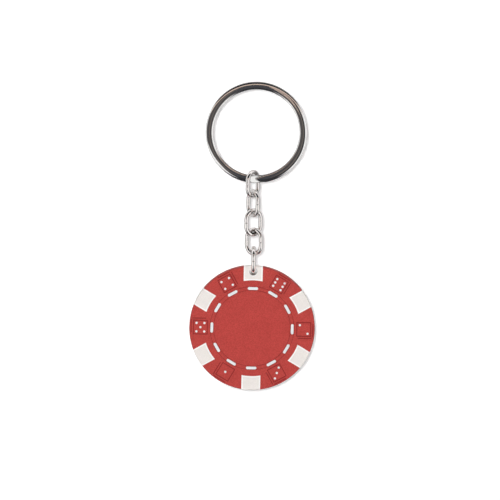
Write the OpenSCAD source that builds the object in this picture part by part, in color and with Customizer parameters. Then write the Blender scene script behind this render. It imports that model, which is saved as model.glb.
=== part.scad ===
// Poker-chip key ring: a weighted dice chip on a chain of oval links and a split ring.
// Millimetres. The origin is the middle of the split ring, +Z is up, the chip's front face looks to -Y.
// It is drawn hanging straight down from the split ring, every link turned about the chain as it lies.

/* [Chip] */
// Diameter of the chip
chip_d = 40; // [36:0.5:44]
// Thickness of the chip
chip_thick = 3.3; // [3:0.05:3.6]
// Radius of the rounded edge between a face and the rim
edge_round = 0.3; // [0.2:0.05:0.4]
// Bevel on each half where the two halves are welded together
seam_bevel = 0.12; // [0.05:0.01:0.2]
// Clearance round a white inlay or the weight in its pocket
inlay_gap = 0.02; // [0.01:0.005:0.05]

/* [White inlays] */
// Width of an edge insert
insert_w = 6; // [5:0.1:7]
// How far an edge insert runs in from the rim
insert_deep = 4.55; // [4:0.05:5.2]
// How far the ring of dashes lies in from the rim
dash_inset = 7.2; // [6.8:0.02:7.8]
// Length of a dash with its round ends
dash_len = 3.3; // [2.5:0.05:4]
// Width of a dash
dash_w = 0.87; // [0.75:0.01:1.1]
// How many dashes there are
dash_count = 12; // [6:6:18]
// Diameter of a die's pip
pip_d = 0.72; // [0.6:0.02:1]

/* [Moulded lines] */
// How far the middle of a die lies in from the rim
die_inset = 3.55; // [3.4:0.05:3.8]
// Side of a die's square, measured on the middle of its line
die_side = 4.4; // [4:0.1:4.6]
// How far the lines of a die's two far sides stand off its square
die_step = 0.72; // [0.6:0.02:0.8]
// Width of the lines that draw the dice
line_w = 0.28; // [0.2:0.02:0.4]
// Depth of all the moulded lines
line_deep = 0.16; // [0.08:0.02:0.25]
// Width of the two round lines beside the dashes
ring_line_w = 0.16; // [0.12:0.01:0.3]
// Plain strip between a dash and a round line
ring_line_gap = 0.05; // [0.03:0.01:0.15]
// Pip rows to either side of a die's middle, round the chip
pip_row = 1.36; // [1.1:0.02:1.5]
// Pip rows to either side of a die's middle, out from the chip's centre
pip_out = 1.25; // [1.1:0.02:1.4]

/* [Weight] */
// Diameter of the steel weight in the chip
slug_d = 22; // [16:0.5:22.5]
// Thickness of the steel weight
slug_thick = 1.4; // [0.8:0.1:1.8]

/* [Chip hole] */
// How far the middle of the hole lies in from the rim
hole_inset = 1.8; // [1.7:0.05:2.2]
// Play of the link's wire in the hole, on the diameter
hole_play = 0.9; // [0.8:0.05:1.1]
// Chamfer of the hole at both faces
hole_chamfer = 0.3; // [0.1:0.05:0.35]
// Gap under the wire at the middle of the hole
hang_gap = 0.13; // [0.08:0.01:0.2]

/* [Chain] */
// Diameter of the links' wire
wire_d = 1.4; // [1.2:0.05:1.5]
// Length of a link over its wire
link_len = 9.1; // [8.6:0.1:10]
// Inside width of a link
link_in_w = 4; // [3.8:0.05:4.4]
// Gap between two linked bows
link_gap = 0.18; // [0.1:0.01:0.3]
// Further slack of the chip's link, which is turned less than a quarter turn from its neighbour
turn_slack = 0.2; // [0.1:0.01:0.3]
// Slit where the ends of a link's wire meet
joint_gap = 0.08; // [0.04:0.01:0.15]
// Turn of each link about the chain, in degrees, from the ring down
link_turns = [54, -57, 35, -35, 90]; // [-90:1:90]
// How far each link lies to the right of the line below the ring's middle
link_shifts = [-0.75, -0.55, -0.3, 0, 0]; // [-0.8:0.05:0.8]

/* [Split ring] */
// Outside diameter of the split ring
ring_d = 32.1; // [28:0.1:36]
// Width of its flat wire, out from the centre
band_w = 2.25; // [2:0.05:2.4]
// Thickness of its flat wire
band_thick = 0.64; // [0.56:0.01:0.7]
// Gap between the two turns
turn_gap = 0.42; // [0.41:0.01:0.5]
// Radius of the flat wire's edges
band_round = 0.22; // [0.1:0.02:0.26]
// Angle over which the wire crosses from the front turn to the rear one
cross_angle = 28; // [20:1:40]
// Angle left free at each end of the wire, beside the crossing
end_angle = 2; // [1.5:0.5:6]
// Where the front end of the wire lies, clockwise from the top
end_clock = 180; // [90:1:270]
// Length over which the wire narrows to its ends
nose_len = 1.5; // [0.8:0.1:3]
// Gap between the ring's inner edge and the first link's bow
ring_play = 0.5; // [0.45:0.01:0.8]

/* [Hidden] */
$fn = 96;

// cutters run past the faces that they cut by this much
over = 0.5;

// chip
chip_r = chip_d / 2;
half_thick = chip_thick / 2;
insert_in_r = chip_r - insert_deep;
dash_r = chip_r - dash_inset;
dash_step = 360 / dash_count;
die_r = chip_r - die_inset;
inner_line_r = dash_r - dash_w / 2 - ring_line_gap - ring_line_w;
outer_line_r = dash_r + dash_w / 2 + ring_line_gap;
hole_r = (wire_d + hole_play) / 2;
hole_off = chip_r - hole_inset;

// pips of each die as shares of the row distances: round the chip, then outwards
one_shares = [[0, 0]];
two_shares = [[-1, -1], [1, 1]];
three_shares = [[-1, -1], [0, 0], [1, 1]];
four_shares = [[-1, -1], [1, -1], [-1, 1], [1, 1]];
five_shares = [[-1, -1], [1, -1], [0, 0], [-1, 1], [1, 1]];
six_shares = [[-1, -1], [-1, 0], [-1, 1], [1, -1], [1, 0], [1, 1]];
// clock place of each die on the front face, from one to six
die_clocks = [210, 90, 150, 330, 270, 30];
pip_shares = [one_shares, two_shares, three_shares, four_shares, five_shares, six_shares];
// one edge insert between every two dice
insert_count = len(die_clocks);
insert_step = 360 / insert_count;

// chain, all heights from the ring's middle
wire_r = wire_d / 2;
link_w = link_in_w + 2 * wire_d;
bow_r = (link_in_w + wire_d) / 2;
strand_len = link_len - link_w;
pitch = link_len - 2 * wire_d - link_gap;
ring_in_r = ring_d / 2 - band_w;
first_z = wire_d + ring_play - ring_in_r - link_len / 2;
function link_z(i) = first_z - i * pitch + (i == 4 ? turn_slack : 0);
hang_z = link_z(4) - (link_len - wire_d) / 2;
hole_z = hang_z + hole_r - wire_r - hang_gap;
chip_z = hole_z - hole_off;

// split ring: stations along two turns, a rounded flat section at each
turn_step = 4.5;
wound_angle = 720 - cross_angle - 2 * end_angle;
stations = round(wound_angle / turn_step);
station_step = wound_angle / stations;
turn_stations = round(360 / station_step);
band_mid_r = ring_d / 2 - band_w / 2;
turn_off = (band_thick + turn_gap) / 2;
nose_share = 0.35;
corner_turns = [0, 30, 60, 90];
section_n = 4 * len(corner_turns);
function wound(i) = i * station_step;
function ease(t) = t <= 0 ? 0 : t >= 1 ? 1 : t * t * (3 - 2 * t);
function cross_at(a) = ease((a + end_angle - 360 + cross_angle) / cross_angle);
function end_dist(i) = min(i, stations - i) * station_step * PI / 180 * band_mid_r;
function nose(i) = end_dist(i) >= nose_len ? 1 : nose_share + (1 - nose_share) * sqrt(end_dist(i) / nose_len);
function corner(k, q, w) =
    let (
        out = (q == 0 || q == 3) ? 1 : -1,
        up = q < 2 ? 1 : -1,
        turn = q * 90 + corner_turns[k]
    )
    [
        out * (w / 2 - band_round) + band_round * cos(turn),
        up * (band_thick / 2 - band_round) + band_round * sin(turn)
    ];
function section(w) = [for (q = [0:3]) for (k = [0:len(corner_turns) - 1]) corner(k, q, w)];
function station(i) =
    let (
        clock = end_clock - end_angle - wound(i),
        shift = turn_off * (2 * cross_at(wound(i)) - 1),
        flat = section(max(band_w * nose(i), 2 * band_round))
    )
    [for (p = flat) [(band_mid_r + p[0]) * sin(clock), shift + p[1], (band_mid_r + p[0]) * cos(clock)]];
rings = [for (i = [0:stations]) station(i)];
coil_points = [for (s = rings) for (p = s) p];
coil_sides = [
    for (i = [0:stations - 1]) for (k = [0:section_n - 1])
        let (
            a = i * section_n + k,
            b = i * section_n + (k + 1) % section_n
        )
        each [[a, a + section_n, b + section_n], [a, b + section_n, b]]
];
last_point = stations * section_n;
coil_start = [for (k = [1:section_n - 2]) [0, k, k + 1]];
coil_end = [for (k = [1:section_n - 2]) [last_point, last_point + k + 1, last_point + k]];
function near(i, j) = min([for (p = rings[i]) for (q = rings[j]) norm(p - q)]);
coil_gap = min([
    for (i = [0:stations - turn_stations + 3]) for (j = [i + turn_stations - 3:i + turn_stations + 3])
        if (j <= stations) near(i, j)
]);
echo(least_gap_between_the_ring_turns = coil_gap);
assert(coil_gap > 0, "the turns of the split ring touch");

// the flat wire wound twice round, crossing from the front turn to the rear one
module split_ring() {
    color([0.72, 0.72, 0.74])
        polyhedron(points = coil_points, faces = concat(coil_start, coil_sides, coil_end), convexity = 8);
}

// one bow of a link: half a ring of round wire
module bow() {
    rotate_extrude(angle = 180)
        translate([bow_r, 0])
            circle(d = wire_d);
}

// an oval link standing in the XZ plane, slit where its wire's ends meet on the strand at side
module oval_link(side) {
    difference() {
        union() {
            translate([0, 0, strand_len / 2])
                rotate([90, 0, 0])
                    bow();
            translate([0, 0, -strand_len / 2])
                rotate([-90, 0, 0])
                    bow();
            for (s = [-1, 1])
                translate([s * bow_r, 0, 0])
                    cylinder(d = wire_d, h = strand_len, center = true);
        }
        translate([side * bow_r, 0, 0])
            cube([wire_d + over, wire_d + over, joint_gap], center = true);
    }
}

// a link in its place, its slit on the strand in front
module placed_link(i) {
    color([0.76, 0.76, 0.78])
        translate([link_shifts[i], 0, link_z(i)])
            rotate([0, 0, link_turns[i]])
                oval_link(link_turns[i] > 0 ? -1 : 1);
}

module chain_link_1() {
    placed_link(0);
}

module chain_link_2() {
    placed_link(1);
}

module chain_link_3() {
    placed_link(2);
}

module chain_link_4() {
    placed_link(3);
}

module chip_link() {
    placed_link(4);
}

// the chip's pieces are drawn flat, front face up and the hole along +Y, then hung in place
module hung() {
    translate([0, 0, chip_z])
        rotate([90, 0, 0])
            children();
}

// outline of half the chip's section, from the weld up to the face
module half_section(bevel) {
    difference() {
        union() {
            square([chip_r - edge_round, half_thick]);
            square([chip_r, half_thick - edge_round]);
            translate([chip_r - edge_round, half_thick - edge_round])
                circle(r = edge_round);
        }
        if (bevel > 0)
            polygon([[chip_r - bevel, 0], [chip_r + bevel, -bevel], [chip_r + bevel, 2 * bevel]]);
    }
}

// the plan of an edge insert on +Y, grown by a gap
module insert_plan(grow) {
    difference() {
        translate([-insert_w / 2 - grow, 0])
            square([insert_w + 2 * grow, chip_r + over]);
        circle(r = insert_in_r - grow);
    }
}

// a dash on +Y, grown by a gap
module dash_plan(grow) {
    translate([0, dash_r]) {
        square([dash_len - dash_w, dash_w + 2 * grow], center = true);
        for (s = [-1, 1])
            translate([s * (dash_len - dash_w) / 2, 0])
                circle(d = dash_w + 2 * grow);
    }
}

// the pips of one die, grown by a gap
module pips_plan(die, grow) {
    rotate([0, 0, -die_clocks[die]])
        for (p = pip_shares[die])
            translate([p[0] * pip_row, die_r + p[1] * pip_out])
                circle(d = pip_d + 2 * grow);
}

// the lines that draw a die on +Y: its square and its two far sides
module die_lines() {
    translate([0, die_r]) {
        difference() {
            square(die_side + line_w, center = true);
            square(die_side - line_w, center = true);
        }
        translate([die_step / 2, die_side / 2 + die_step])
            square([die_side, line_w], center = true);
        translate([die_side / 2 + die_step, die_step / 2])
            square([line_w, die_side], center = true);
    }
}

// every line that is moulded into a face
module face_lines() {
    for (clock = die_clocks)
        rotate([0, 0, -clock])
            die_lines();
    for (r = [inner_line_r, outer_line_r])
        difference() {
            circle(r = r + ring_line_w);
            circle(r = r);
        }
}

// the room that the weight takes between the halves
module slug_pocket() {
    cylinder(d = slug_d + 2 * inlay_gap, h = slug_thick + 2 * inlay_gap, center = true);
}

// a red half shell with its pockets, face up and weld at 0
module half_shell() {
    difference() {
        rotate_extrude()
            half_section(seam_bevel);
        translate([0, 0, half_thick - line_deep])
            linear_extrude(line_deep + over)
                face_lines();
        slug_pocket();
        translate([0, 0, -over])
            linear_extrude(half_thick + 2 * over) {
                for (i = [0:insert_count - 1])
                    rotate([0, 0, -i * insert_step])
                        insert_plan(inlay_gap);
                for (i = [0:dash_count - 1])
                    rotate([0, 0, -i * dash_step])
                        dash_plan(inlay_gap);
                for (die = [0:len(pip_shares) - 1])
                    pips_plan(die, inlay_gap);
            }
    }
}

module front_half() {
    color([0.70, 0.20, 0.18])
        hung()
            half_shell();
}

module rear_half() {
    color([0.70, 0.20, 0.18])
        hung()
            mirror([0, 0, 1])
                half_shell();
}

// the steel weight between the halves
module weight_slug() {
    color([0.5, 0.5, 0.52])
        hung()
            cylinder(d = slug_d, h = slug_thick, center = true);
}

// the hole for the chip's link, chamfered at both faces
module link_hole() {
    translate([0, hole_off, 0]) {
        cylinder(r = hole_r, h = chip_thick + 2 * over, center = true);
        for (up = [0, 1])
            mirror([0, 0, up])
                translate([0, 0, half_thick - hole_chamfer])
                    cylinder(r1 = hole_r, r2 = hole_r + 2 * hole_chamfer, h = 2 * hole_chamfer);
    }
}

// a white insert, right through the chip and round its rim
module edge_insert(i) {
    color([0.92, 0.90, 0.87])
        hung()
            rotate([0, 0, -i * insert_step])
                intersection() {
                    rotate_extrude() {
                        half_section(0);
                        mirror([0, 1])
                            half_section(0);
                    }
                    linear_extrude(chip_thick + 2 * over, center = true)
                        insert_plan(0);
                }
}

module edge_insert_1() {
    difference() {
        edge_insert(0);
        hung()
            link_hole();
    }
}

module edge_insert_2() {
    edge_insert(1);
}

module edge_insert_3() {
    edge_insert(2);
}

module edge_insert_4() {
    edge_insert(3);
}

module edge_insert_5() {
    edge_insert(4);
}

module edge_insert_6() {
    edge_insert(5);
}

// the dashes, through the chip wherever the weight leaves them room
module ring_dashes() {
    color([0.95, 0.95, 0.93])
        hung()
            difference() {
                linear_extrude(chip_thick, center = true)
                    for (i = [0:dash_count - 1])
                        rotate([0, 0, -i * dash_step])
                            dash_plan(0);
                slug_pocket();
            }
}

// the pips of one die, right through the chip
module pips(die) {
    color([0.95, 0.95, 0.93])
        hung()
            linear_extrude(chip_thick, center = true)
                pips_plan(die, 0);
}

module pips_one() {
    pips(0);
}

module pips_two() {
    pips(1);
}

module pips_three() {
    pips(2);
}

module pips_four() {
    pips(3);
}

module pips_five() {
    pips(4);
}

module pips_six() {
    pips(5);
}

split_ring();
chain_link_1();
chain_link_2();
chain_link_3();
chain_link_4();
chip_link();
front_half();
rear_half();
weight_slug();
edge_insert_1();
edge_insert_2();
edge_insert_3();
edge_insert_4();
edge_insert_5();
edge_insert_6();
ring_dashes();
pips_one();
pips_two();
pips_three();
pips_four();
pips_five();
pips_six();
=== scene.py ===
import math

import bmesh
import bpy
from bpy.props import FloatProperty, FloatVectorProperty, IntProperty, PointerProperty
from mathutils import Matrix, Vector


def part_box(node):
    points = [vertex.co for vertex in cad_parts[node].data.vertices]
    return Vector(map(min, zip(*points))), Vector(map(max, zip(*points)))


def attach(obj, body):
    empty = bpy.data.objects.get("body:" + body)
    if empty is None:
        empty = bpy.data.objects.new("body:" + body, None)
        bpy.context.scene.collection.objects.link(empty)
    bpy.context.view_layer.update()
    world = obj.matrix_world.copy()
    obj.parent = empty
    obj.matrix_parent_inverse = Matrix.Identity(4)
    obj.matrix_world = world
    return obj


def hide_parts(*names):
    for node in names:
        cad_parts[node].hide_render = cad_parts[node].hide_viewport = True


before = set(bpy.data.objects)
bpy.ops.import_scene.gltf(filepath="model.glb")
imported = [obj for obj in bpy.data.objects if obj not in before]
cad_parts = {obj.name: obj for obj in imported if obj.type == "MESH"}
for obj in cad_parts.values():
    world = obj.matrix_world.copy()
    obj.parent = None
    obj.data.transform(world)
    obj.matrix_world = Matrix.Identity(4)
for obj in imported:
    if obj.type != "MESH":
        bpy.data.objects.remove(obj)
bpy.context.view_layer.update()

bl_info = {
    "name": "Poker Chip Key Ring",
    "version": (1, 0, 0),
    "blender": (4, 5, 0),
    "location": "3D View > Sidebar > Key Ring",
    "description": "Models a poker chip on a short chain and a split ring, and lights it for a picture",
    "category": "Mesh",
}

MM = 0.001

MERGE_DISTANCE = 0.002 * MM
SMOOTH_ANGLE = math.radians(50)


def middle_height(node):
    """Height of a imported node's middle."""
    low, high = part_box(node)
    return (low.z + high.z) / 2


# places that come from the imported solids
FRONT_LOW, FRONT_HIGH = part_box("front_half")
CHIP_RADIUS = (FRONT_HIGH.x - FRONT_LOW.x) / 2
CHIP_FACE = -FRONT_LOW.y
CHIP_CENTRE = Vector((0, 0, middle_height("weight_slug")))
LINK_PITCH = middle_height("chain_link_1") - middle_height("chain_link_2")
CONTACT_HEIGHT = (middle_height("chain_link_1") + middle_height("chain_link_2")) / 2

# turn of each link about the chain's line, in degrees
LINK_TURNS = {
    "chain_link_1": 54,
    "chain_link_2": 123,
    "chain_link_3": 35,
    "chain_link_4": 145,
    "chip_link": 90,
}
INSERT_NODES = [f"edge_insert_{i}" for i in range(1, 7)]
PIP_NODES = ["pips_one", "pips_two", "pips_three", "pips_four", "pips_five", "pips_six"]

# materials: places of the colours on a mix node, ranges of a noise, and the gloss of all the plastics
MIX_COLOUR_INPUTS = (0, 6, 7)
MIX_COLOUR_OUTPUT = 2
NOISE_MIDDLE = (0.3, 0.7)
NOISE_WIDE = (0.25, 0.75)
PLASTIC_SHINE = 0.22

# stage: camera, sheets and lamps, in metres apart from the sensor's millimetres
SENSOR_WIDTH = 36
CLIP_START, CLIP_END = 0.01, 20
BACKDROP_SIZE, BACKDROP_HEIGHT = 3, 0.7
FLOOR_SIZE = 8
SOFT_PLACE = (-0.6, -0.75, 0.5)
REAR_PLACE = (0.3, 0.85, 0.4)
LARGE_LAMP = 0.5
WHITE = (1, 1, 1, 1)
TAN = (0.8, 0.62, 0.52, 1)
BROWN = (0.15, 0.13, 0.118, 1)
DARK = (0.065, 0.066, 0.074, 1)

# reflected cards: lower left corner, upper right corner, width of a stripe, two colours
CARDS = {
    "room_card": ((-0.09, -0.2, -0.0435), (0.03, -0.2, 0.0355), 0.036, DARK, BROWN),
    "white_card": ((-0.11, -0.2, -0.1005), (-0.028, -0.2, -0.0435), 0.004, WHITE, WHITE),
    "warm_card": ((-0.075, -0.12, 0.0147), (0.075, -0.12, 0.0267), 0.004, TAN, TAN),
    "warm_patch": ((0.006, -0.12, -0.0033), (0.017, -0.12, 0.0137), 0.0035, TAN, BROWN),
}


class RingSizes(bpy.types.PropertyGroup):
    """Sizes of the split ring."""

    across: FloatProperty(
        name="Across", description="Outside diameter of the ring", default=32.1 * MM, unit="LENGTH")
    band_width: FloatProperty(
        name="Band width", description="Width of the flat wire, inside to outside",
        default=2.44 * MM, unit="LENGTH")
    band_thickness: FloatProperty(
        name="Band thickness", description="Thickness of the flat wire",
        default=0.64 * MM, unit="LENGTH")
    fullness: FloatProperty(
        name="Fullness", description="Section of the rolled wire: 2 is an oval, more is squarer",
        default=2.6)
    turn_gap: FloatProperty(
        name="Turn gap", description="Room between the two turns", default=0.42 * MM, unit="LENGTH")
    end_clock: FloatProperty(
        name="End", description="Clock place of the front end, clockwise from the top",
        default=math.radians(178), subtype="ANGLE")
    front_turn: FloatProperty(
        name="Front turn", description="Angle that the front turn runs up to the crossing",
        default=math.radians(351), subtype="ANGLE")
    crossing: FloatProperty(
        name="Crossing", description="Angle over which the wire goes from the front turn to the rear one",
        default=math.radians(13), subtype="ANGLE")
    rear_turn: FloatProperty(
        name="Rear turn", description="Angle that the rear turn runs after the crossing",
        default=math.radians(324), subtype="ANGLE")
    nose_length: FloatProperty(
        name="Nose length", description="Length of wire that narrows at each end",
        default=2.6 * MM, unit="LENGTH")
    nose_share: FloatProperty(
        name="Nose share", description="Width left at the tip, as a share",
        default=0.2, subtype="FACTOR")
    step: FloatProperty(
        name="Step", description="Angle between two sections of the wire",
        default=math.radians(2.5), subtype="ANGLE")


class ChainSizes(bpy.types.PropertyGroup):
    """Sizes of the chain's oval links."""

    wire: FloatProperty(
        name="Wire", description="Diameter of the links' wire", default=1.4 * MM, unit="LENGTH")
    length: FloatProperty(
        name="Link length", description="Outside length of a link", default=9.1 * MM, unit="LENGTH")
    inside_width: FloatProperty(
        name="Inside width", description="Clear width inside a link", default=4.0 * MM, unit="LENGTH")
    slit: FloatProperty(
        name="Slit", description="Gap where the wire's ends meet", default=0.08 * MM, unit="LENGTH")
    end_bevel: FloatProperty(
        name="End bevel", description="Bevel of the wire's cut ends", default=0.05 * MM, unit="LENGTH")
    sides: IntProperty(name="Sides", description="Sides of the round wire", default=28)
    bow_steps: IntProperty(name="Bow steps", description="Sections round each bow", default=28)


class ChipSizes(bpy.types.PropertyGroup):
    """Sizes that place the chip's finishes."""

    # the rim band holds painted shade as well as the paler worn spots
    rim_band: FloatProperty(
        name="Rim band", description="Width of the worn band at the rim",
        default=0.34 * MM, unit="LENGTH")
    # depth below the face where the painted shade of the moulded lines begins
    line_depth: FloatProperty(
        name="Line depth", description="Depth at which a moulded line reads dark",
        default=0.05 * MM, unit="LENGTH")
    insert_width: FloatProperty(
        name="Insert width", description="Width of an edge insert", default=6.0 * MM, unit="LENGTH")
    insert_reach: FloatProperty(
        name="Insert reach", description="How far an insert runs in from the rim",
        default=4.55 * MM, unit="LENGTH")
    # the border is smoother and carries a painted highlight
    insert_border: FloatProperty(
        name="Insert border", description="Width of an insert's polished border",
        default=0.42 * MM, unit="LENGTH")
    hole_inset: FloatProperty(
        name="Hole inset", description="Rim to the middle of the chain's hole",
        default=1.8 * MM, unit="LENGTH")
    hole_across: FloatProperty(
        name="Hole across", description="Diameter of the chain's hole", default=2.3 * MM, unit="LENGTH")


class Finishes(bpy.types.PropertyGroup):
    """Colours as they read on the object, in display values."""

    red: FloatVectorProperty(
        name="Red", description="The chip's body", default=(0.717, 0.265, 0.244), subtype="COLOR_GAMMA")
    # painted shade: the darker red of the moulded lines and the rim, also used for a faint mottling
    shade_and_mottle_red: FloatVectorProperty(
        name="Line red", description="The moulded lines",
        default=(0.53, 0.16, 0.16), subtype="COLOR_GAMMA")
    insert: FloatVectorProperty(
        name="Insert", description="The edge inserts",
        default=(0.915, 0.89, 0.872), subtype="COLOR_GAMMA")
    # painted highlight: the bright colour of the inserts' border and of the hole's lip
    border: FloatVectorProperty(
        name="Border", description="The inserts' border",
        default=(0.965, 0.955, 0.945), subtype="COLOR_GAMMA")
    # painted shade on the wall of the chain's hole
    hole_shade: FloatVectorProperty(
        name="Rub", description="Wall of the hole, rubbed by the wire",
        default=(0.62, 0.56, 0.52), subtype="COLOR_GAMMA")
    mark: FloatVectorProperty(
        name="Mark", description="The dashes and pips",
        default=(0.9, 0.905, 0.91), subtype="COLOR_GAMMA")
    ring_steel: FloatVectorProperty(
        name="Ring steel", description="The plated split ring",
        default=(0.93, 0.925, 0.92), subtype="COLOR_GAMMA")
    chain_steel: FloatVectorProperty(
        name="Chain steel", description="The plated links",
        default=(0.975, 0.955, 0.945), subtype="COLOR_GAMMA")
    # painted shade: the dark metal put where link meets link, in place of the shade that falls between them
    contact_shade: FloatVectorProperty(
        name="Grime", description="Dark metal where link rubs on link",
        default=(0.6, 0.58, 0.57), subtype="COLOR_GAMMA")
    weight_steel: FloatVectorProperty(
        name="Weight steel", description="The bare weight inside",
        default=(0.72, 0.72, 0.71), subtype="COLOR_GAMMA")


class StageSettings(bpy.types.PropertyGroup):
    """Camera, backdrop and lamps."""

    frame_width: FloatProperty(
        name="Frame width", description="Width of the picture at the object",
        default=158.9 * MM, unit="LENGTH")
    target_x: FloatProperty(
        name="Target X", description="Middle of the picture, left to right",
        default=-1.2 * MM, unit="LENGTH")
    target_z: FloatProperty(
        name="Target Z", description="Middle of the picture, up and down",
        default=-37.54 * MM, unit="LENGTH")
    distance: FloatProperty(
        name="Distance", description="Camera to object", default=0.9, unit="LENGTH")
    elevation: FloatProperty(
        name="Elevation", description="Camera above the level",
        default=math.radians(7.5), subtype="ANGLE")
    room_drop: FloatProperty(
        name="Room drop", description="How far below the level the reflected room's middle lies",
        default=math.radians(3), subtype="ANGLE")
    roll: FloatProperty(
        name="Roll", description="Roll of the camera", default=math.radians(1.28), subtype="ANGLE")
    backdrop_y: FloatProperty(
        name="Backdrop", description="Distance of the backdrop behind the object",
        default=80 * MM, unit="LENGTH")
    backdrop_tone: FloatProperty(
        name="Backdrop tone", description="Share of light that the backdrop gives back", default=0.95)
    backdrop_glow: FloatProperty(
        name="Backdrop glow", description="Glow of the backdrop near the object", default=0.22)
    floor_z: FloatProperty(
        name="Floor", description="Height of the floor", default=-145 * MM, unit="LENGTH")
    floor_tone: FloatProperty(
        name="Floor tone", description="Share of light that the floor gives back", default=0.6)
    floor_glow: FloatProperty(
        name="Floor glow", description="Glow of the floor near the object", default=0.8)
    white_from: FloatProperty(
        name="White from", description="Distance where the stage starts to turn white",
        default=0.2, unit="LENGTH")
    white_at: FloatProperty(
        name="White at", description="Distance where the stage is plain white",
        default=0.35, unit="LENGTH")
    ambient: FloatProperty(
        name="Ambient", description="Light from all round", default=0.27)
    key: FloatProperty(
        name="Key", description="Light from beside the camera", default=0.608)
    key_aside: FloatProperty(
        name="Key aside", description="How far left of the camera the key stands",
        default=7.3 * MM, unit="LENGTH")
    key_above: FloatProperty(
        name="Key above", description="How far above the camera the key stands",
        default=5.4 * MM, unit="LENGTH")
    key_size: FloatProperty(
        name="Key size", description="Diameter of the key", default=9.6 * MM, unit="LENGTH")
    soft: FloatProperty(
        name="Soft", description="Soft light from the upper left", default=0.1)
    rear: FloatProperty(
        name="Rear", description="Light from behind", default=0.45)


class KeyRingSettings(bpy.types.PropertyGroup):
    """All that a user would change on the key ring."""

    ring: PointerProperty(name="Ring", description="Sizes of the split ring", type=RingSizes)
    chain: PointerProperty(name="Chain", description="Sizes of the links", type=ChainSizes)
    chip: PointerProperty(name="Chip", description="Sizes of the chip's finishes", type=ChipSizes)
    finish: PointerProperty(name="Finish", description="Colours of the pieces", type=Finishes)
    stage: PointerProperty(name="Stage", description="Camera, backdrop and lamps", type=StageSettings)


# modelling helpers

def drop_selection():
    """Leaves edit mode with nothing selected."""
    active = bpy.context.view_layer.objects.active
    if active is not None and active.mode != "OBJECT":
        bpy.ops.object.mode_set(mode="OBJECT")
    bpy.ops.object.select_all(action="DESELECT")


def name_piece(name):
    """Names the active object and its mesh."""
    piece = bpy.context.view_layer.objects.active
    piece.name = name
    piece.data.name = name
    return piece


def settle():
    """Puts the active object's place into its mesh."""
    bpy.ops.object.transform_apply(location=True, rotation=True, scale=True)


def pick(test, edges=False):
    """In edit mode, selects the points, or else the edges, whose middle passes the test."""
    mesh = bmesh.from_edit_mesh(bpy.context.edit_object.data)
    bpy.ops.mesh.select_all(action="DESELECT")
    for element in mesh.edges if edges else mesh.verts:
        middle = (element.verts[0].co + element.verts[1].co) / 2 if edges else element.co
        if test(middle):
            element.select_set(True)
    mesh.select_flush_mode()
    bmesh.update_edit_mesh(bpy.context.edit_object.data)


def close_and_face_out():
    """Merges doubles, turns every face outwards and stops at an open edge."""
    bpy.ops.mesh.select_all(action="SELECT")
    bpy.ops.mesh.remove_doubles(threshold=MERGE_DISTANCE)
    bpy.ops.mesh.normals_make_consistent(inside=False)
    mesh = bmesh.from_edit_mesh(bpy.context.edit_object.data)
    open_edges = [e for e in mesh.edges if not e.is_manifold]
    if open_edges:
        raise RuntimeError(f"{bpy.context.edit_object.name} has {len(open_edges)} open edges")
    if mesh.calc_volume(signed=True) < 0:
        bpy.ops.mesh.flip_normals()


def finish_smooth():
    """Leaves edit mode and shades smooth across all but the sharp edges."""
    bpy.ops.object.mode_set(mode="OBJECT")
    bpy.ops.object.shade_smooth_by_angle(angle=SMOOTH_ANGLE)


def turn_selected(angle):
    """Turns what is selected clockwise about the ring's axis, as seen from the front."""
    bpy.ops.transform.rotate(value=-angle, orient_axis="Y", center_override=(0, 0, 0))


def sweep(turn, steps=1, centre=(0, 0, 0)):
    """Carries the selected faces round as new wire, clockwise as seen from the front."""
    bpy.ops.mesh.spin(steps=steps, angle=-turn, center=centre, axis=(0, 1, 0))


def dress(piece, material):
    """Gives a piece one material on all its faces."""
    piece.data.materials.clear()
    piece.data.materials.append(material)


def dress_node(node, material):
    """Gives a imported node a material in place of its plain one."""
    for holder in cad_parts[node].material_slots:
        holder.material = material


# material helpers

def display(colour, share=1.0):
    """A display colour, made lighter or darker by a share, as the shader's linear one."""
    shares = [min(c * share, 1) for c in colour]
    return [*(((c + 0.055) / 1.055) ** 2.4 if c > 0.04045 else c / 12.92 for c in shares), 1]


def shade(colour, share):
    """A linear colour made lighter or darker by a share."""
    return [*(min(c * share, 1) for c in colour[:3]), 1]


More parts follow.
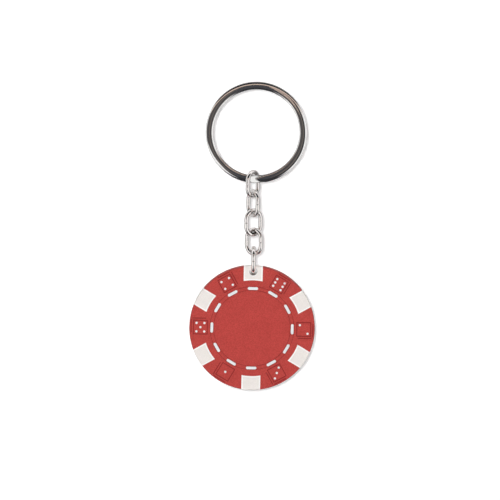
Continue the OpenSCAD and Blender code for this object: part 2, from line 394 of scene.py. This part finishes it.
class Recipe:
    """A material or world under construction: its nodes are added and wired by short calls."""

    def __init__(self, holder, last_node):
        holder.use_nodes = True
        self.holder = holder
        self.tree = holder.node_tree
        self.last_node = self.tree.nodes[last_node]

    def add(self, kind, *inputs, **settings):
        """A new node, its settings and its first inputs."""
        node = self.tree.nodes.new(kind)
        for key, value in settings.items():
            setattr(node, key, value)
        for place, value in enumerate(inputs):
            self.feed(value, node.inputs[place])
        return node

    def feed(self, value, socket):
        """Wires a socket or a node to an input, or sets the input to a constant."""
        if isinstance(value, bpy.types.NodeSocket):
            self.tree.links.new(value, socket)
        elif isinstance(value, bpy.types.Node):
            self.tree.links.new(value.outputs[0], socket)
        else:
            socket.default_value = value

    def fill(self, node, **sockets):
        """Feeds a node's inputs by name."""
        for name, given in sockets.items():
            self.feed(given, node.inputs[name.replace("_", " ")])

    def set(self, **sockets):
        """Feeds the node that ends the recipe."""
        self.fill(self.last_node, **sockets)

    def math(self, operation, *inputs):
        return self.add("ShaderNodeMath", *inputs, operation=operation).outputs[0]

    def vector(self, operation, *inputs):
        node = self.add("ShaderNodeVectorMath", *inputs, operation=operation)
        return node.outputs["Value" if operation == "LENGTH" else "Vector"]

    def spread(self, value, low, high, to_low=0.0, to_high=1.0):
        """Carries a range of values smoothly to another range."""
        node = self.add("ShaderNodeMapRange", interpolation_type="SMOOTHSTEP", clamp=True)
        self.fill(node, Value=value, From_Min=low, From_Max=high, To_Min=to_low, To_Max=to_high)
        return node.outputs[0]

    def noise(self, place, scale, detail, roughness):
        node = self.add("ShaderNodeTexNoise")
        self.fill(node, Vector=place, Scale=scale, Detail=detail, Roughness=roughness)
        return node.outputs[0]

    def blend(self, share, first, second):
        """Mixes two colours."""
        node = self.add("ShaderNodeMix", data_type="RGBA")
        for place, given in zip(MIX_COLOUR_INPUTS, (share, first, second)):
            self.feed(given, node.inputs[place])
        return node.outputs[MIX_COLOUR_OUTPUT]

    def place(self, centre=(0, 0, 0)):
        """Place of a point on the object, measured from a centre."""
        coordinates = self.add("ShaderNodeTexCoord").outputs["Object"]
        return self.add("ShaderNodeMapping", coordinates, [-c for c in centre]).outputs[0]

    def parts(self, vector):
        return self.add("ShaderNodeSeparateXYZ", vector).outputs

    def off_axis(self, place):
        """Distance from the line through the centre that runs front to back."""
        return self.vector("LENGTH", self.vector("MULTIPLY", place, (1, 0, 1)))

    def bump(self, height, strength, distance):
        node = self.add("ShaderNodeBump")
        self.fill(node, Strength=strength, Distance=distance, Height=height)
        return node.outputs[0]


def surface(name):
    """A new material, ready to be built up."""
    return Recipe(bpy.data.materials.new(name), "Principled BSDF")


# materials

def red_plastic(settings):
    """Matte red moulding: fine spark grain, painted shade in the moulded lines and along the rim, and paler
    worn spots at the rim.
    """
    grain_scale, cloud_scale, wear_scale = 3400, 260, 900
    grain_dark, grain_light = 0.84, 1.16
    cloud_share, rim_shade_share, wear_share = 0.1, 0.5, 0.2
    worn_red = (0.7, 0.3, 0.27, 1)
    recipe = surface("red_plastic_grain")
    chip = settings.chip
    red, shade_and_mottle_red = display(settings.finish.red), display(settings.finish.shade_and_mottle_red)
    place = recipe.place(CHIP_CENTRE)
    radius = recipe.off_axis(place)
    height = recipe.math("ABSOLUTE", recipe.parts(place)[1])
    grain = recipe.noise(place, grain_scale, 3, 0.6)
    cloud = recipe.noise(place, cloud_scale, 3, 0.55)
    tone = recipe.blend(recipe.spread(grain, *NOISE_MIDDLE), shade(red, grain_dark), shade(red, grain_light))
    tone = recipe.blend(recipe.spread(cloud, *NOISE_MIDDLE, 0.0, cloud_share), tone, shade_and_mottle_red)
    # painted shade in the moulded lines and other hollows below the face, short of the rim band
    line_floor, line_edge = CHIP_FACE - chip.line_depth * 1.6, CHIP_FACE - chip.line_depth * 0.4
    below = recipe.spread(height, line_floor, line_edge, 1.0, 0.0)
    inside = recipe.math("LESS_THAN", radius, CHIP_RADIUS - chip.rim_band)
    tone = recipe.blend(recipe.math("MULTIPLY", below, inside), tone, shade_and_mottle_red)
    # painted shade along the rim, half way to the darker red
    rim = recipe.spread(radius, CHIP_RADIUS - chip.rim_band, CHIP_RADIUS - chip.rim_band * 0.3)
    tone = recipe.blend(recipe.math("MULTIPLY", rim, rim_shade_share), tone, shade_and_mottle_red)
    wear = recipe.spread(recipe.noise(place, wear_scale, 4, 0.65), 0.46, 0.68)
    worn = recipe.math("MULTIPLY", recipe.math("MULTIPLY", rim, wear), wear_share)
    tone = recipe.blend(worn, tone, worn_red)
    rough = recipe.spread(cloud, *NOISE_WIDE, 0.46, 0.6)
    recipe.set(Base_Color=tone, Roughness=rough, Specular_IOR_Level=PLASTIC_SHINE,
               Normal=recipe.bump(grain, 0.35, 0.02 * MM))
    return recipe.holder


def insert_plastic(settings):
    """Warm white plastic: a smoother border with a painted highlight along its sides and inner edge, a
    painted highlight on the hole's lip, and painted shade on the hole's wall.
    """
    grain_scale, cloud_scale = 5200, 420
    grain_dark, grain_light, cloud_dark, cloud_share = 0.975, 1.02, 0.965, 0.35
    lip_inner, lip_outer, wall_inner, wall_outer, hole_shade_share = 0.62, 0.68, 0.5, 0.54, 0.85
    soft = 0.06 * MM
    recipe = surface("insert_plastic_grain")
    finish, chip = settings.finish, settings.chip
    place = recipe.place(CHIP_CENTRE)
    radius = recipe.off_axis(place)
    x, _, z = recipe.parts(place)
    clock = recipe.math("ARCTAN2", x, z)
    sixth = math.tau / len(INSERT_NODES)
    sector = recipe.math("ROUND", recipe.math("DIVIDE", clock, sixth))
    local = recipe.math("SUBTRACT", clock, recipe.math("MULTIPLY", sector, sixth))
    across = recipe.math("ABSOLUTE", recipe.math("MULTIPLY", radius, recipe.math("SINE", local)))
    outer = chip.insert_width / 2 - chip.insert_border
    side = recipe.spread(across, outer - soft, outer + soft)
    inner = CHIP_RADIUS - chip.insert_reach + chip.insert_border
    inside = recipe.spread(radius, inner - soft, inner + soft, 1.0, 0.0)
    border = recipe.math("MAXIMUM", side, inside)
    grain = recipe.noise(place, grain_scale, 3, 0.6)
    cloud = recipe.noise(place, cloud_scale, 3, 0.55)
    panel = recipe.blend(recipe.spread(grain, *NOISE_MIDDLE), display(finish.insert, grain_dark),
                         display(finish.insert, grain_light))
    panel = recipe.blend(recipe.spread(cloud, 0.35, 0.7, 0.0, cloud_share), panel,
                         display(finish.insert, cloud_dark))
    # painted highlight along the insert's sides and inner edge
    tone = recipe.blend(border, panel, display(finish.border))
    hole = CHIP_CENTRE + Vector((0, 0, CHIP_RADIUS - chip.hole_inset))
    off_hole = recipe.off_axis(recipe.place(hole))
    # painted highlight on the lip round the chain's hole
    lip = recipe.spread(off_hole, chip.hole_across * lip_inner, chip.hole_across * lip_outer, 1.0, 0.0)
    tone = recipe.blend(lip, tone, display(finish.border))
    # painted shade on the hole's wall
    wall = recipe.spread(off_hole, chip.hole_across * wall_inner, chip.hole_across * wall_outer, 1.0, 0.0)
    tone = recipe.blend(recipe.math("MULTIPLY", wall, hole_shade_share), tone, display(finish.hole_shade))
    rough = recipe.spread(border, 0.0, 1.0, 0.5, 0.34)
    recipe.set(Base_Color=tone, Roughness=rough, Specular_IOR_Level=PLASTIC_SHINE,
               Normal=recipe.bump(grain, 0.25, 0.02 * MM))
    return recipe.holder


def mark_plastic(settings):
    """Cool bright white plastic of the dashes and pips."""
    grain_scale, cloud_scale = 5200, 700
    grain_dark, grain_light, cloud_dark, cloud_share = 0.98, 1.02, 0.96, 0.3
    recipe = surface("mark_plastic_grain")
    white = settings.finish.mark
    place = recipe.place(CHIP_CENTRE)
    grain = recipe.noise(place, grain_scale, 3, 0.6)
    cloud = recipe.noise(place, cloud_scale, 3, 0.55)
    tone = recipe.blend(recipe.spread(grain, *NOISE_MIDDLE), display(white, grain_dark),
                        display(white, grain_light))
    tone = recipe.blend(recipe.spread(cloud, 0.4, 0.7, 0.0, cloud_share), tone, display(white, cloud_dark))
    rough = recipe.spread(cloud, *NOISE_WIDE, 0.36, 0.5)
    recipe.set(Base_Color=tone, Roughness=rough, Specular_IOR_Level=PLASTIC_SHINE,
               Normal=recipe.bump(grain, 0.2, 0.015 * MM))
    return recipe.holder


def ring_steel(settings):
    """Plated ring: bright, with fine draw lines along the wire and a few dull patches."""
    lines_across, lines_along, cloud_scale, dullness = 14000.0, 6.0, 320, 0.9
    recipe = surface("ring_plated_steel")
    place = recipe.place()
    x, y, z = recipe.parts(place)
    along = recipe.add(
        "ShaderNodeCombineXYZ", recipe.math("MULTIPLY", recipe.off_axis(place), lines_across),
        recipe.math("MULTIPLY", y, lines_across),
        recipe.math("MULTIPLY", recipe.math("ARCTAN2", x, z), lines_along))
    draw = recipe.noise(along, 1.0, 3, 0.6)
    cloud = recipe.noise(place, cloud_scale, 4, 0.6)
    steel = display(settings.finish.ring_steel)
    tone = recipe.blend(recipe.spread(cloud, 0.45, 0.75), steel, shade(steel, dullness))
    rough = recipe.math("ADD", recipe.spread(cloud, 0.35, 0.8, 0.03, 0.08),
                        recipe.spread(draw, 0.4, 0.75, 0.0, 0.03))
    recipe.set(Base_Color=tone, Metallic=1.0, Roughness=rough, Normal=recipe.bump(draw, 0.12, 0.006 * MM))
    return recipe.holder


def chain_steel(settings):
    """Plated links: bright, with faint pits and rubbed patches, and painted shade where link meets link."""
    cloud_scale, pit_scale, dullness = 700, 3600, 0.88
    contact_shade_core, contact_shade_reach = 0.7 * MM, 1.5 * MM
    recipe = surface("chain_plated_steel")
    place = recipe.place()
    cloud = recipe.noise(place, cloud_scale, 4, 0.6)
    pits = recipe.noise(place, pit_scale, 2, 0.5)
    steel = display(settings.finish.chain_steel)
    tone = recipe.blend(recipe.spread(cloud, 0.5, 0.8), steel, shade(steel, dullness))
    x, y, z = recipe.parts(recipe.place((0, 0, CONTACT_HEIGHT)))
    from_contact = recipe.math("PINGPONG", z, LINK_PITCH / 2)
    off_contact = recipe.vector("LENGTH", recipe.add("ShaderNodeCombineXYZ", x, y, from_contact))
    # painted shade round each point where one link meets the next
    contact_shade = recipe.spread(off_contact, contact_shade_core, contact_shade_reach, 1.0, 0.0)
    tone = recipe.blend(contact_shade, tone, display(settings.finish.contact_shade))
    rough = recipe.math("ADD", recipe.spread(cloud, 0.35, 0.8, 0.06, 0.11),
                        recipe.spread(pits, 0.55, 0.8, 0.0, 0.05))
    recipe.set(Base_Color=tone, Metallic=1.0, Roughness=rough, Normal=recipe.bump(pits, 0.1, 0.008 * MM))
    return recipe.holder


def weight_steel(settings):
    """Bare punched steel of the weight: straight rolling lines and a few dark spots."""
    line_scales, spot_scale, line_shade = (9000, 9000, 260), 520, 0.82
    spot_colour, spot_share = (0.16, 0.145, 0.13, 1), 0.5
    recipe = surface("weight_rolled_steel")
    place = recipe.place(CHIP_CENTRE)
    lines = recipe.noise(recipe.vector("MULTIPLY", place, line_scales), 1.0, 3, 0.6)
    spots = recipe.noise(place, spot_scale, 4, 0.6)
    steel = display(settings.finish.weight_steel)
    tone = recipe.blend(recipe.spread(lines, 0.35, 0.7), shade(steel, line_shade), steel)
    tone = recipe.blend(recipe.spread(spots, 0.6, 0.78, 0.0, spot_share), tone, spot_colour)
    rough = recipe.spread(lines, *NOISE_MIDDLE, 0.28, 0.45)
    recipe.set(Base_Color=tone, Metallic=1.0, Roughness=rough, Normal=recipe.bump(lines, 0.2, 0.01 * MM))
    return recipe.holder


# pieces

def model_ring(ring):
    """Flat wire wound twice round: nose, front turn, crossing, rear turn, nose."""
    middle = ring.across / 2 - ring.band_width / 2
    front_y = -(ring.band_thickness + ring.turn_gap) / 2
    half_width, half_thickness = ring.band_width / 2, ring.band_thickness / 2
    columns, nose_steps, cross_steps = 16, 7, 16
    edge_share, tiny = 0.998, 0.002 * MM
    drop_selection()
    bpy.ops.mesh.primitive_grid_add(x_subdivisions=columns, y_subdivisions=1, size=1)
    coil = name_piece("ring_coil")
    coil.scale = (ring.band_width, ring.band_thickness, 1)
    settle()
    bpy.ops.object.mode_set(mode="EDIT")
    bpy.ops.mesh.select_mode(type="VERT")
    for even in sorted((2 * k / columns - 1 for k in range(columns + 1)), key=abs, reverse=True):
        share = math.sin(even * math.pi / 2) * edge_share
        height = half_thickness * (1 - abs(share) ** ring.fullness) ** (1 / ring.fullness)
        for side in (-1, 1):
            pick(lambda p: abs(p.x - even * half_width) < tiny and p.y * side > 0)
            bpy.ops.transform.translate(
                value=((share - even) * half_width, side * (height - half_thickness), 0))
    bpy.ops.object.mode_set(mode="OBJECT")
    coil.location = (0, front_y, middle)
    coil.rotation_euler = (0, -math.pi / 2, 0)
    settle()
    bpy.ops.object.mode_set(mode="EDIT")
    bpy.ops.mesh.select_mode(type="FACE")
    bpy.ops.mesh.select_all(action="SELECT")

    def narrow(clock, share, height):
        turn_selected(-clock)
        bpy.ops.transform.resize(value=(1, 1, share), center_override=(0, height, middle))
        turn_selected(clock)

    turn_selected(ring.end_clock)
    steps = [(k / nose_steps) ** 2 * ring.nose_length / middle for k in range(nose_steps + 1)]
    shares = [ring.nose_share + (1 - ring.nose_share) * k / nose_steps for k in range(nose_steps + 1)]
    narrow(ring.end_clock, shares[0], front_y)
    for k in range(nose_steps):
        sweep(steps[k] - steps[k + 1])
        narrow(ring.end_clock - steps[k + 1], shares[k + 1] / shares[k], front_y)
    sweep(steps[-1] - ring.front_turn, round((ring.front_turn - steps[-1]) / ring.step))
    ease = [t * t * (3 - 2 * t) for t in (k / cross_steps for k in range(cross_steps + 1))]
    for k in range(cross_steps):
        sweep(-ring.crossing / cross_steps)
        bpy.ops.transform.translate(value=(0, -2 * front_y * (ease[k + 1] - ease[k]), 0))
    sweep(steps[-1] - ring.rear_turn, round((ring.rear_turn - steps[-1]) / ring.step))
    last = ring.end_clock - ring.front_turn - ring.crossing - ring.rear_turn
    for k in range(nose_steps, 0, -1):
        sweep(steps[k - 1] - steps[k])
        narrow(last + steps[k - 1], shares[k - 1] / shares[k], -front_y)
    close_and_face_out()
    finish_smooth()
    return coil


def model_link(chain):
    """One oval link of round wire at the origin, in the XZ plane, its slit on the -X strand."""
    bow = (chain.inside_width + chain.wire) / 2
    strand = (chain.length - chain.inside_width - 2 * chain.wire) / 2
    half_steps, strand_steps, bevel_steps = 3, 5, 3
    tiny = 0.001 * MM
    drop_selection()
    bpy.ops.mesh.primitive_circle_add(
        vertices=chain.sides, radius=chain.wire / 2, fill_type="NGON", location=(-bow, 0, chain.slit / 2))
    link = name_piece("link_pattern")
    settle()
    bpy.ops.object.mode_set(mode="EDIT")
    bpy.ops.mesh.select_mode(type="FACE")
    bpy.ops.mesh.select_all(action="SELECT")

    def run(length, count):
        for _ in range(count):
            bpy.ops.mesh.extrude_region_move(TRANSFORM_OT_translate={"value": (0, 0, length / count)})

    run(strand - chain.slit / 2, half_steps)
    sweep(math.pi, chain.bow_steps, (0, 0, strand))
    run(-2 * strand, strand_steps)
    sweep(math.pi, chain.bow_steps, (0, 0, -strand))
    run(strand - chain.slit / 2, half_steps)
    close_and_face_out()
    bpy.ops.mesh.select_mode(type="EDGE")
    pick(lambda p: p.x < 0 and abs(p.z) < chain.slit / 2 + tiny, edges=True)
    bpy.ops.mesh.bevel(offset=chain.end_bevel, segments=bevel_steps, affect="EDGES", clamp_overlap=True)
    close_and_face_out()
    finish_smooth()
    return link


class KEYRING_OT_split_ring(bpy.types.Operator):
    """Winds the split ring from flat wire"""

    bl_idname = "keyring.split_ring"
    bl_label = "Split Ring"

    def execute(self, context):
        settings = context.scene.key_ring
        coil = model_ring(settings.ring)
        dress(coil, ring_steel(settings))
        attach(coil, "split_ring")
        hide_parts("split_ring")
        return {"FINISHED"}


class KEYRING_OT_chain(bpy.types.Operator):
    """Bends one oval link and hangs a copy of it in each place of the chain"""

    bl_idname = "keyring.chain"
    bl_label = "Chain"

    def execute(self, context):
        settings = context.scene.key_ring
        steel = chain_steel(settings)
        pattern = model_link(settings.chain)
        dress(pattern, steel)
        for node, turn in LINK_TURNS.items():
            low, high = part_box(node)
            drop_selection()
            pattern.select_set(True)
            context.view_layer.objects.active = pattern
            bpy.ops.object.duplicate(linked=False)
            link = name_piece(f"{node}_wire")
            link.location = (low + high) / 2
            link.rotation_euler = (0, 0, math.radians(turn))
            settle()
            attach(link, node)
            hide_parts(node)
        bpy.data.objects.remove(pattern)
        return {"FINISHED"}


class KEYRING_OT_chip(bpy.types.Operator):
    """Dresses the chip: red halves, white inserts, dashes, pips and the weight inside"""

    bl_idname = "keyring.chip"
    bl_label = "Chip"

    def execute(self, context):
        settings = context.scene.key_ring
        red = red_plastic(settings)
        for node in ("front_half", "rear_half"):
            dress_node(node, red)
        white = insert_plastic(settings)
        for node in INSERT_NODES:
            dress_node(node, white)
        mark = mark_plastic(settings)
        for node in ["ring_dashes", *PIP_NODES]:
            dress_node(node, mark)
        dress_node("weight_slug", weight_steel(settings))
        return {"FINISHED"}


# stage

def lamp(name, location, size, level):
    """A round soft lamp that lights a facing surface at the level, unseen in reflections."""
    drop_selection()
    middle = Vector((0, 0, CHIP_CENTRE.z / 2))
    way = Vector(location) - middle
    bpy.ops.object.light_add(type="AREA", location=location)
    light = bpy.context.view_layer.objects.active
    light.name = name
    light.rotation_euler = way.to_track_quat("Z", "Y").to_euler()
    light.data.shape = "DISK"
    light.data.size = size
    light.data.energy = level * math.pi ** 2 * way.length_squared
    light.visible_glossy = False
    light.visible_camera = False


def stage_material(name, tone, glow, one_sided, stage):
    """Pale matte paper: diffuse, plus a glow that only the camera sees and that turns white far off."""
    recipe = Recipe(bpy.data.materials.new(name), "Material Output")
    recipe.tree.nodes.remove(recipe.tree.nodes["Principled BSDF"])
    away = recipe.vector("LENGTH", recipe.place())
    level = recipe.add("ShaderNodeMapRange", away, stage.white_from, stage.white_at, glow)
    seen = recipe.add("ShaderNodeLightPath").outputs["Is Camera Ray"]
    shine = recipe.add("ShaderNodeEmission", WHITE, recipe.math("MULTIPLY", seen, level))
    matte = recipe.add("ShaderNodeBsdfDiffuse", (tone, tone, tone, 1))
    paper = recipe.add("ShaderNodeAddShader", matte, shine)
    if one_sided:
        behind = recipe.add("ShaderNodeNewGeometry").outputs["Backfacing"]
        clear = recipe.add("ShaderNodeBsdfTransparent")
        paper = recipe.add("ShaderNodeMixShader", behind, paper, clear)
    recipe.set(Surface=paper)
    return recipe.holder


def stage_plane(name, size, location, rotation, material):
    """A flat stage sheet."""
    drop_selection()
    bpy.ops.mesh.primitive_plane_add(size=size, location=location, rotation=rotation)
    sheet = name_piece(name)
    settle()
    dress(sheet, material)
    sheet.visible_glossy = False
    sheet.visible_shadow = False


def studio_world(stage):
    """White to the camera, even light on matte surfaces, and in polished metal a studio: white walls
    left and right, a dark room round the camera and at the horizon, and white paper behind.
    Angles are in degrees, off the way to the camera or down from the top."""
    left_wall, right_wall, far_end = (24, 33), (9, 15), (75, 85)
    wall_heights, skirting_heights, skirting_width = (52, 72, 138, 158), (95, 125), 6
    ceiling_heights, ceiling_depths = (-2, -1, 60, 90), (66, 80, 100, 130)
    paper_start, paper_tone = (100, 112), 0.6
    room_colour = (0.036, 0.037, 0.042, 1)
    world = bpy.data.worlds.new("studio")
    bpy.context.scene.world = world
    recipe = Recipe(world, "Background")
    way = recipe.add("ShaderNodeTexCoord").outputs["Generated"]
    level_way = recipe.add("ShaderNodeMapping", way, (0, 0, 0), (-stage.room_drop, 0, 0))
    x, y, z = recipe.parts(level_way)
    off_camera = recipe.math("ARCCOSINE", recipe.math("MULTIPLY", y, -1))
    fall = recipe.math("ARCTAN2", recipe.math("ABSOLUTE", x), z)

    def ramp(angle, ends, low=0.0, high=1.0):
        return recipe.spread(angle, math.radians(ends[0]), math.radians(ends[1]), low, high)

    def zone(angle, ends):
        return recipe.math("MULTIPLY", ramp(angle, ends[:2]), ramp(angle, ends[2:], 1.0, 0.0))

    on_right = recipe.math("GREATER_THAN", x, 0.0)
    wall_start, wall_full = [
        recipe.spread(on_right, 0.0, 1.0, math.radians(left), math.radians(right))
        for left, right in zip(left_wall, right_wall)
    ]
    skirting = ramp(fall, skirting_heights, 0.0, math.radians(skirting_width))
    inner_edge = recipe.spread(recipe.math("SUBTRACT", off_camera, skirting), wall_start, wall_full)
    walls = recipe.math("MULTIPLY", inner_edge, ramp(off_camera, far_end, 1.0, 0.0))
    walls = recipe.math("MULTIPLY", walls, zone(fall, wall_heights))
    ceiling = recipe.math("MULTIPLY", zone(fall, ceiling_heights), zone(off_camera, ceiling_depths))
    paper = ramp(off_camera, paper_start, 0.0, paper_tone)
    tone = recipe.math("MAXIMUM", recipe.math("MAXIMUM", walls, ceiling), paper)
    tone = recipe.blend(tone, room_colour, WHITE)
    path = recipe.add("ShaderNodeLightPath").outputs
    tone = recipe.blend(path["Is Glossy Ray"], [stage.ambient] * 3 + [1], tone)
    tone = recipe.blend(path["Is Camera Ray"], tone, WHITE)
    recipe.set(Color=tone)


def reflected_card(name, low, high, stripe, dark, light):
    """An upright striped card in front of the ring that only polished metal sees."""
    recipe = surface(name)
    across = recipe.parts(recipe.place())[0]
    wave = recipe.math("COSINE", recipe.math("MULTIPLY", across, math.tau / stripe))
    recipe.set(Base_Color=(0, 0, 0, 1), Specular_IOR_Level=0.0, Emission_Strength=1.0,
               Emission_Color=recipe.blend(recipe.spread(wave, -0.9, 0.7), light, dark))
    drop_selection()
    low, high = Vector(low), Vector(high)
    bpy.ops.mesh.primitive_plane_add(size=1, location=(low + high) / 2, rotation=(math.pi / 2, 0, 0))
    card = name_piece(name)
    card.scale = (high.x - low.x, high.z - low.z, 1)
    settle()
    dress(card, recipe.holder)
    card.visible_camera = False
    card.visible_diffuse = False
    card.visible_shadow = False
    card.visible_transmission = False


def photo_camera(stage):
    """A long lens in front of the chip, a little above it, rolled as the photograph is."""
    data = bpy.data.cameras.new("camera")
    data.sensor_width = SENSOR_WIDTH
    data.lens = data.sensor_width * stage.distance / stage.frame_width
    data.clip_start, data.clip_end = CLIP_START, CLIP_END
    camera = bpy.data.objects.new("camera", data)
    bpy.context.scene.collection.objects.link(camera)
    back = Vector((0, -math.cos(stage.elevation), math.sin(stage.elevation)))
    level_right = Vector((1, 0, 0))
    level_up = back.cross(level_right)
    right = math.cos(stage.roll) * level_right + math.sin(stage.roll) * level_up
    up = math.cos(stage.roll) * level_up - math.sin(stage.roll) * level_right
    target = Vector((stage.target_x, 0, stage.target_z))
    turn = Matrix((right, up, back)).transposed()
    camera.matrix_world = Matrix.Translation(target + back * stage.distance) @ turn.to_4x4()
    bpy.context.scene.camera = camera
    return camera


class KEYRING_OT_stage(bpy.types.Operator):
    """Sets the camera, the lamps, the white backdrop, the floor and the reflected studio"""

    bl_idname = "keyring.stage"
    bl_label = "Stage"

    def execute(self, context):
        stage = context.scene.key_ring.stage
        context.scene.view_settings.view_transform = "Standard"
        camera = photo_camera(stage)
        studio_world(stage)
        paper = stage_material("backdrop_paper", stage.backdrop_tone, stage.backdrop_glow, True, stage)
        ground = stage_material("floor_paper", stage.floor_tone, stage.floor_glow, False, stage)
        backdrop_place = (0, stage.backdrop_y, BACKDROP_HEIGHT)
        stage_plane("backdrop", BACKDROP_SIZE, backdrop_place, (math.pi / 2, 0, 0), paper)
        stage_plane("floor", FLOOR_SIZE, (0, 0, stage.floor_z), (0, 0, 0), ground)
        for name, card in CARDS.items():
            reflected_card(name, *card)
        beside = camera.matrix_world @ Vector((-stage.key_aside, stage.key_above, 0))
        lamp("key_lamp", beside, stage.key_size, stage.key)
        lamp("soft_lamp", SOFT_PLACE, LARGE_LAMP, stage.soft)
        lamp("rear_lamp", REAR_PLACE, LARGE_LAMP, stage.rear)
        return {"FINISHED"}


class KEYRING_PT_panel(bpy.types.Panel):
    """Lists the key ring's pieces and its stage"""

    bl_label = "Key Ring"
    bl_space_type = "VIEW_3D"
    bl_region_type = "UI"
    bl_category = "Key Ring"

    def draw(self, context):
        for operator in OPERATORS:
            self.layout.operator(operator.bl_idname)
        settings = context.scene.key_ring
        for group in (settings.ring, settings.chain, settings.chip, settings.finish, settings.stage):
            box = self.layout.box()
            for name in group.bl_rna.properties.keys():
                if name not in ("rna_type", "name"):
                    box.prop(group, name)


OPERATORS = (KEYRING_OT_split_ring, KEYRING_OT_chain, KEYRING_OT_chip, KEYRING_OT_stage)
GROUPS = (RingSizes, ChainSizes, ChipSizes, Finishes, StageSettings, KeyRingSettings)


def register():
    for cls in (*GROUPS, *OPERATORS, KEYRING_PT_panel):
        bpy.utils.register_class(cls)
    bpy.types.Scene.key_ring = PointerProperty(type=KeyRingSettings)


def unregister():
    del bpy.types.Scene.key_ring
    for cls in reversed((*GROUPS, *OPERATORS, KEYRING_PT_panel)):
        bpy.utils.unregister_class(cls)


def main():
    register()
    bpy.ops.keyring.split_ring()
    bpy.ops.keyring.chain()
    bpy.ops.keyring.chip()
    bpy.ops.keyring.stage()


if __name__ == "__main__":
    main()
